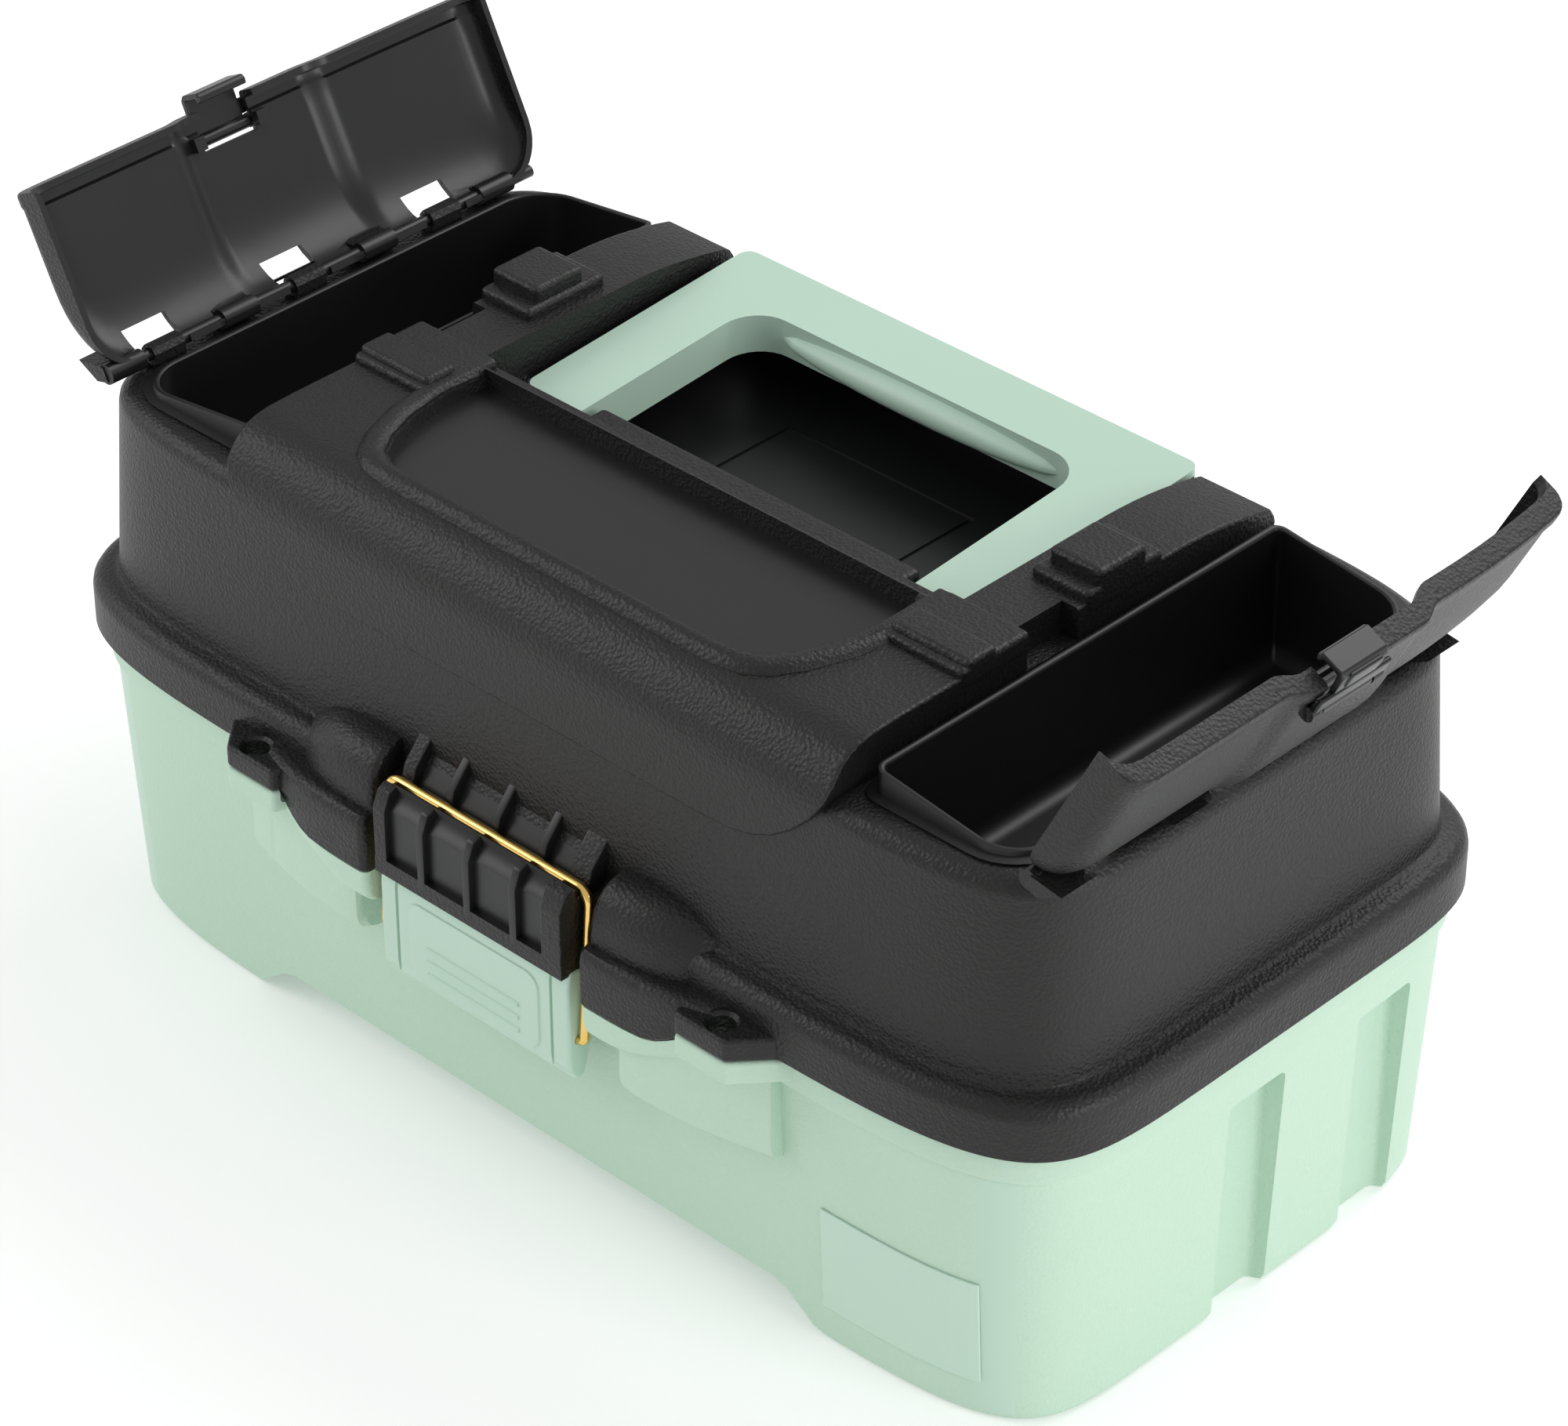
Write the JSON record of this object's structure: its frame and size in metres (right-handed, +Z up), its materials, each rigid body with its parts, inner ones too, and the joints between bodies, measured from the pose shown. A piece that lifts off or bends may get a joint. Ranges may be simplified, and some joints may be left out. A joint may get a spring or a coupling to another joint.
{
  "type": "fishing tackle box",
  "caption": "Two-tone fishing tackle box with a hinged lid, cantilever trays, two top access lids over bins, a folding carry handle and a wire draw latch.",
  "frame": {"origin": "centre of the closed case in plan, on the plane that the feet rest on", "axes": "+X along the long side to the right seen from the front, -Y to the front with the latch, +Z up"},
  "size_m": [0.4582, 0.238, 0.2427],
  "materials": {
    "mint_shell": "moulded polypropylene with a fine leather grain",
    "black_shell": "moulded polypropylene with a leather grain",
    "black_liner": "smooth moulded plastic",
    "tray_plastic": "smooth moulded plastic",
    "brass_wire": "bright drawn wire",
    "steel_hardware": "zinc plated",
    "label_film": "blank clear film"
  },
  "bodies": {
    "base": {"base_tub": "mint_shell", "label_plate": "label_film", "hinge_pins": "steel_hardware", "base_tray_rivets": "steel_hardware", "lever_pin": "steel_hardware"},
    "lid": {"lid_shell": "black_shell", "left_bin": "black_liner", "right_bin": "black_liner", "lid_tray_rivets": "steel_hardware", "handle_pins": "steel_hardware", "left_access_rod": "black_liner", "right_access_rod": "black_liner"},
    "left_door": {"left_access_lid": "black_shell"},
    "right_door": {"right_access_lid": "black_shell"},
    "left_clip": {"left_snap_clip": "black_liner"},
    "right_clip": {"right_snap_clip": "black_liner"},
    "handle": {"carry_handle": "mint_shell"},
    "lever": {"latch_lever": "mint_shell"},
    "bail": {"latch_bail": "brass_wire"},
    "left_arm": {"left_long_arm": "steel_hardware", "left_arm_rivets": "steel_hardware"},
    "right_arm": {"right_long_arm": "steel_hardware", "right_arm_rivets": "steel_hardware"},
    "left_low_arm": {"left_short_arm": "steel_hardware", "left_short_rivet": "steel_hardware"},
    "right_low_arm": {"right_short_arm": "steel_hardware", "right_short_rivet": "steel_hardware"},
    "top_tray": {"upper_tray": "tray_plastic", "upper_dividers": "black_liner"},
    "bottom_tray": {"lower_tray": "tray_plastic", "lower_dividers": "black_liner"}
  },
  "joints": [
    {"name": "lid_hinge", "type": "hinge", "parent": "base", "child": "lid", "pos_m": [0, 0.114, 0.101], "axis": [-1, 0, 0], "range_deg": [0, 100]},
    {"name": "left_door_hinge", "type": "hinge", "parent": "lid", "child": "left_door", "pos_m": [-0.184, 0, 0.1885], "axis": [0, 1, 0], "range_deg": [0, 117]},
    {"name": "right_door_hinge", "type": "hinge", "parent": "lid", "child": "right_door", "pos_m": [0.184, 0, 0.1885], "axis": [0, -1, 0], "range_deg": [0, 117]},
    {"name": "left_clip_hinge", "type": "hinge", "parent": "left_door", "child": "left_clip", "pos_m": [-0.22046, -0.008, 0.22548], "axis": [0, -1, 0], "range_deg": [0, 35]},
    {"name": "right_clip_hinge", "type": "hinge", "parent": "right_door", "child": "right_clip", "pos_m": [0.22046, -0.008, 0.22548], "axis": [0, 1, 0], "range_deg": [0, 35]},
    {"name": "handle_hinge", "type": "hinge", "parent": "lid", "child": "handle", "pos_m": [0, 0.001, 0.1825], "axis": [1, 0, 0], "range_deg": [0, 86]},
    {"name": "lever_hinge", "type": "hinge", "parent": "base", "child": "lever", "pos_m": [0, -0.107, 0.092], "axis": [-1, 0, 0], "range_deg": [0, 50]},
    {"name": "bail_hinge", "type": "hinge", "parent": "lever", "child": "bail", "pos_m": [0, -0.113, 0.072], "axis": [1, 0, 0], "range_deg": [0, 140]},
    {"name": "left_arm_hinge", "type": "hinge", "parent": "base", "child": "left_arm", "pos_m": [-0.182, 0.058, 0.087], "axis": [-1, 0, 0], "range_deg": [0, 100]},
    {"name": "right_arm_hinge", "type": "hinge", "parent": "base", "child": "right_arm", "pos_m": [0.182, 0.058, 0.087], "axis": [-1, 0, 0], "range_deg": [0, 100]},
    {"name": "left_low_arm_hinge", "type": "hinge", "parent": "base", "child": "left_low_arm", "pos_m": [-0.182, 0.002, 0.073], "axis": [-1, 0, 0], "range_deg": [0, 100]},
    {"name": "right_low_arm_hinge", "type": "hinge", "parent": "base", "child": "right_low_arm", "pos_m": [0.182, 0.002, 0.073], "axis": [-1, 0, 0], "range_deg": [0, 100]},
    {"name": "top_tray_hinge", "type": "hinge", "parent": "left_arm", "child": "top_tray", "pos_m": [-0.175, -0.014, 0.105], "axis": [-1, 0, 0], "range_deg": [-100, 0]},
    {"name": "bottom_tray_hinge", "type": "hinge", "parent": "left_low_arm", "child": "bottom_tray", "pos_m": [-0.179, -0.0304, 0.0811], "axis": [-1, 0, 0], "range_deg": [-100, 0]}
  ],
  "couplings": [
    {"joint": "lever_hinge", "follows": "lid_hinge", "ratio": 0.5},
    {"joint": "bail_hinge", "follows": "lid_hinge", "ratio": 1.4},
    {"joint": "left_arm_hinge", "follows": "lid_hinge", "ratio": 1},
    {"joint": "right_arm_hinge", "follows": "lid_hinge", "ratio": 1},
    {"joint": "left_low_arm_hinge", "follows": "lid_hinge", "ratio": 1},
    {"joint": "right_low_arm_hinge", "follows": "lid_hinge", "ratio": 1},
    {"joint": "top_tray_hinge", "follows": "lid_hinge", "ratio": -1},
    {"joint": "bottom_tray_hinge", "follows": "lid_hinge", "ratio": -1}
  ]
}
